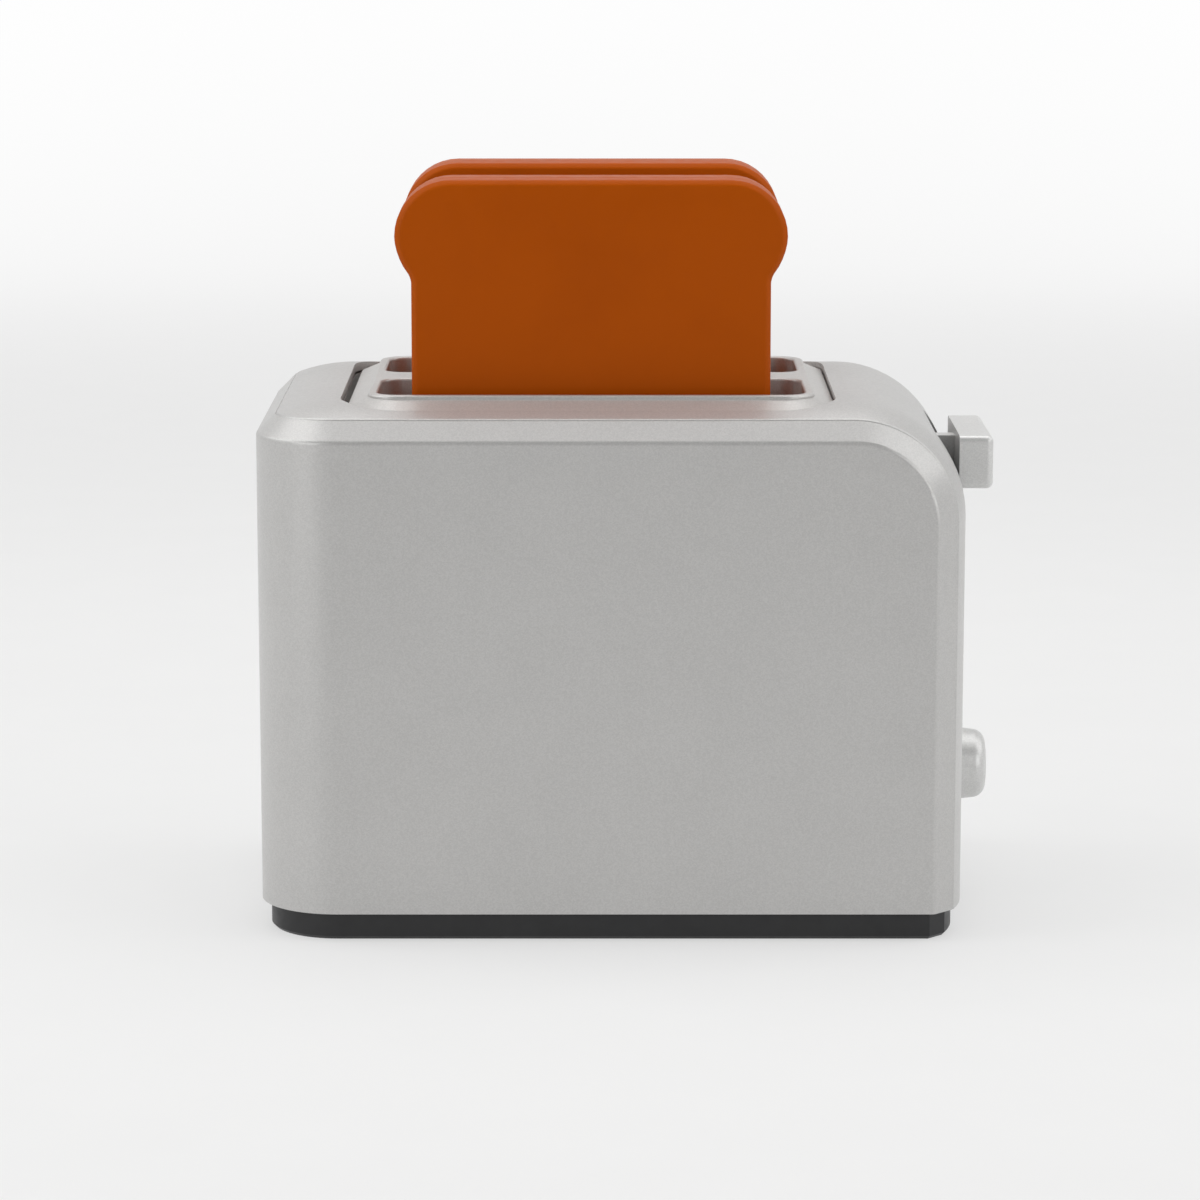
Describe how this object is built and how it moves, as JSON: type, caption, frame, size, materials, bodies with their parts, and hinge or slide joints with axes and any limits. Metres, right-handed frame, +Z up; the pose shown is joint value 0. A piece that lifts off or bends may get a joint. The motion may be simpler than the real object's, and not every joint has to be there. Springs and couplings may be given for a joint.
{
  "type": "toy toaster",
  "caption": "Toy pop-up toaster: rounded silver body on a black plinth, bread slots holding play toast, end lever, release knob and push button.",
  "frame": {"origin": "centre of the body's footprint on the standing surface, at the underside of the base plate", "axes": "+X towards the lever end, +Y towards the back long side (the pictured long side faces -Y), +Z up"},
  "size_m": [0.185, 0.112, 0.1871],
  "materials": {
    "silver_plastic": "satin metallic silver paint on moulded plastic",
    "rim_plastic": "satin metallic silver paint on moulded plastic",
    "lever_plastic": "light silver paint on moulded plastic",
    "black_plastic": "plain black moulded plastic",
    "button_plastic": "glossy black moulded plastic",
    "carriage_plastic": "dark grey moulded plastic",
    "cam_plastic": "natural white moulded plastic",
    "toast_plastic": "toast-brown moulded plastic with a soft sheen",
    "screw_steel": "zinc-plated steel",
    "rod_steel": "drawn bright steel",
    "spring_steel": "spring steel"
  },
  "bodies": {
    "housing": {"top_cover": "silver_plastic", "front_side_shell": "silver_plastic", "back_side_shell": "silver_plastic", "slot_frame": "rim_plastic", "base_plate": "black_plastic", "base_screws": "screw_steel", "guide_rods": "rod_steel", "return_springs": "spring_steel", "centring_leaf": "spring_steel", "button_spring": "spring_steel"},
    "carriage": {"carriage": "carriage_plastic", "lever": "lever_plastic", "lever_screw": "screw_steel", "catch_clip": "spring_steel", "clip_screw": "screw_steel"},
    "knob": {"release_knob": "lever_plastic", "release_cam": "cam_plastic"},
    "button": {"stop_button": "button_plastic", "button_ring": "spring_steel"},
    "front_toast": {"front_toast_outer": "toast_plastic", "front_toast_inner": "toast_plastic"},
    "back_toast": {"back_toast_inner": "toast_plastic", "back_toast_outer": "toast_plastic"}
  },
  "joints": [
    {"name": "lever_slide", "type": "slide", "parent": "housing", "child": "carriage", "axis": [0, 0, -1], "range_m": [0, 0.054], "stiffness_N_per_m": 160, "springref_m": -0.025, "deforming": ["return_springs", "catch_clip"]},
    {"name": "knob_turn", "type": "hinge", "parent": "housing", "child": "knob", "pos_m": [0.0884, 0, 0.033], "axis": [1, 0, 0], "range_deg": [-40, 40], "stiffness_Nm_per_rad": 0.03, "deforming": ["centring_leaf", "catch_clip"]},
    {"name": "button_press", "type": "slide", "parent": "housing", "child": "button", "axis": [-1, 0, 0], "range_m": [0, 0.002], "stiffness_N_per_m": 400, "springref_m": -0.002, "deforming": ["button_spring"]},
    {"name": "front_toast_lift", "type": "slide", "parent": "carriage", "child": "front_toast", "axis": [0, 0, 1], "range_m": [0, 0.05]},
    {"name": "back_toast_lift", "type": "slide", "parent": "carriage", "child": "back_toast", "axis": [0, 0, 1], "range_m": [0, 0.05]}
  ]
}
